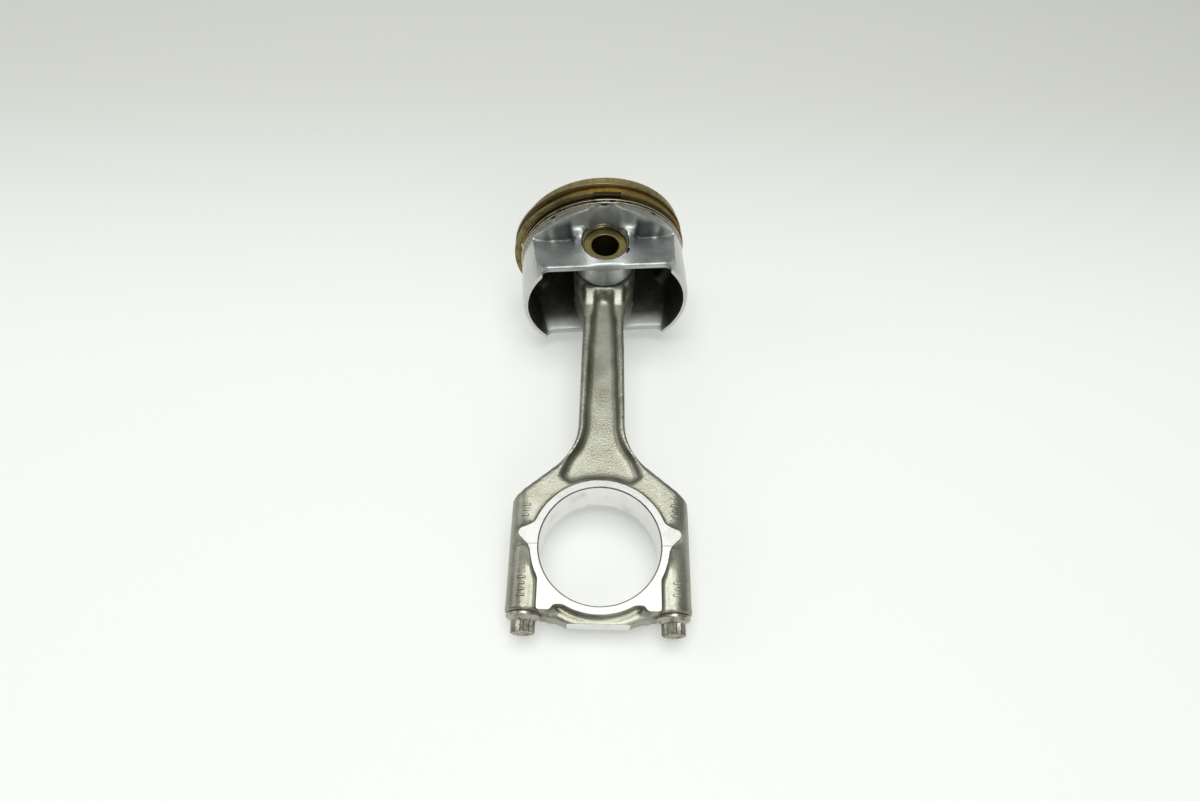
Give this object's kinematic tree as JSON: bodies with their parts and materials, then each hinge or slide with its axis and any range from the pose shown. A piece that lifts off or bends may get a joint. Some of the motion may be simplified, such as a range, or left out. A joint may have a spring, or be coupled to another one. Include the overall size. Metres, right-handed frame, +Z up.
{
  "type": "engine piston with connecting rod",
  "caption": "Engine piston with open skirts and relaxed rings, hung on its pin from an I-section connecting rod with a split big end and flange bolts.",
  "frame": {"origin": "middle of the big end housing bore, on its axis half way through the rod", "axes": "+X to the right across the big end, +Y level along the floor from the big end towards the piston crown, +Z up; the assembly lies on its side and the rod rises 9.5 degrees towards the piston"},
  "size_m": [0.0935, 0.2258, 0.0909],
  "materials": {
    "cast_aluminium": "cast and machined, satin",
    "ring_steel": "ground steel, oil stained",
    "ring_iron": "golden brown oil film on iron",
    "pin_steel": "ground steel, amber oil film at the ends",
    "spring_wire": "dark drawn wire",
    "forged_steel": "shot blasted forging, machined faces bright",
    "bush_bronze": "machined bronze",
    "bolt_steel": "dark phosphated steel"
  },
  "bodies": {
    "rod": {"connecting_rod": "forged_steel", "small_end_bush": "bush_bronze", "rod_cap": "forged_steel", "cap_bolt_left": "bolt_steel", "cap_bolt_right": "bolt_steel"},
    "piston": {"piston": "cast_aluminium", "circlip_upper": "spring_wire", "circlip_lower": "spring_wire"},
    "pin": {"piston_pin": "pin_steel"},
    "top_ring": {"top_ring": "ring_steel"},
    "second_ring": {"second_ring": "ring_iron"},
    "upper_rail": {"oil_rail_upper": "ring_steel"},
    "expander": {"oil_expander": "ring_steel"},
    "lower_rail": {"oil_rail_lower": "ring_steel"}
  },
  "joints": [
    {"name": "piston_swing", "type": "hinge", "parent": "rod", "child": "piston", "pos_m": [0, 0.15189, 0.02542], "axis": [0, -0.165, 0.9863], "range_deg": [-49, 40]},
    {"name": "pin_spin", "type": "hinge", "parent": "piston", "child": "pin", "pos_m": [0, 0.15189, 0.02542], "axis": [0, -0.165, 0.9863], "continuous": true},
    {"name": "top_ring_turn", "type": "hinge", "parent": "piston", "child": "top_ring", "pos_m": [-0.0034, 0.17491, 0.02937], "axis": [-0.0785, 0.9832, 0.1645], "continuous": true},
    {"name": "second_ring_turn", "type": "hinge", "parent": "piston", "child": "second_ring", "pos_m": [-0.00304, 0.16786, 0.0291], "axis": [-0.0785, 0.9832, 0.1645], "continuous": true},
    {"name": "upper_rail_turn", "type": "hinge", "parent": "piston", "child": "upper_rail", "pos_m": [-0.00142, 0.16585, 0.02775], "axis": [-0.0785, 0.9832, 0.1645], "continuous": true},
    {"name": "expander_turn", "type": "hinge", "parent": "piston", "child": "expander", "pos_m": [-0.00134, 0.16489, 0.02759], "axis": [-0.0785, 0.9832, 0.1645], "continuous": true},
    {"name": "lower_rail_turn", "type": "hinge", "parent": "piston", "child": "lower_rail", "pos_m": [-0.00126, 0.16393, 0.02743], "axis": [-0.0785, 0.9832, 0.1645], "continuous": true}
  ]
}
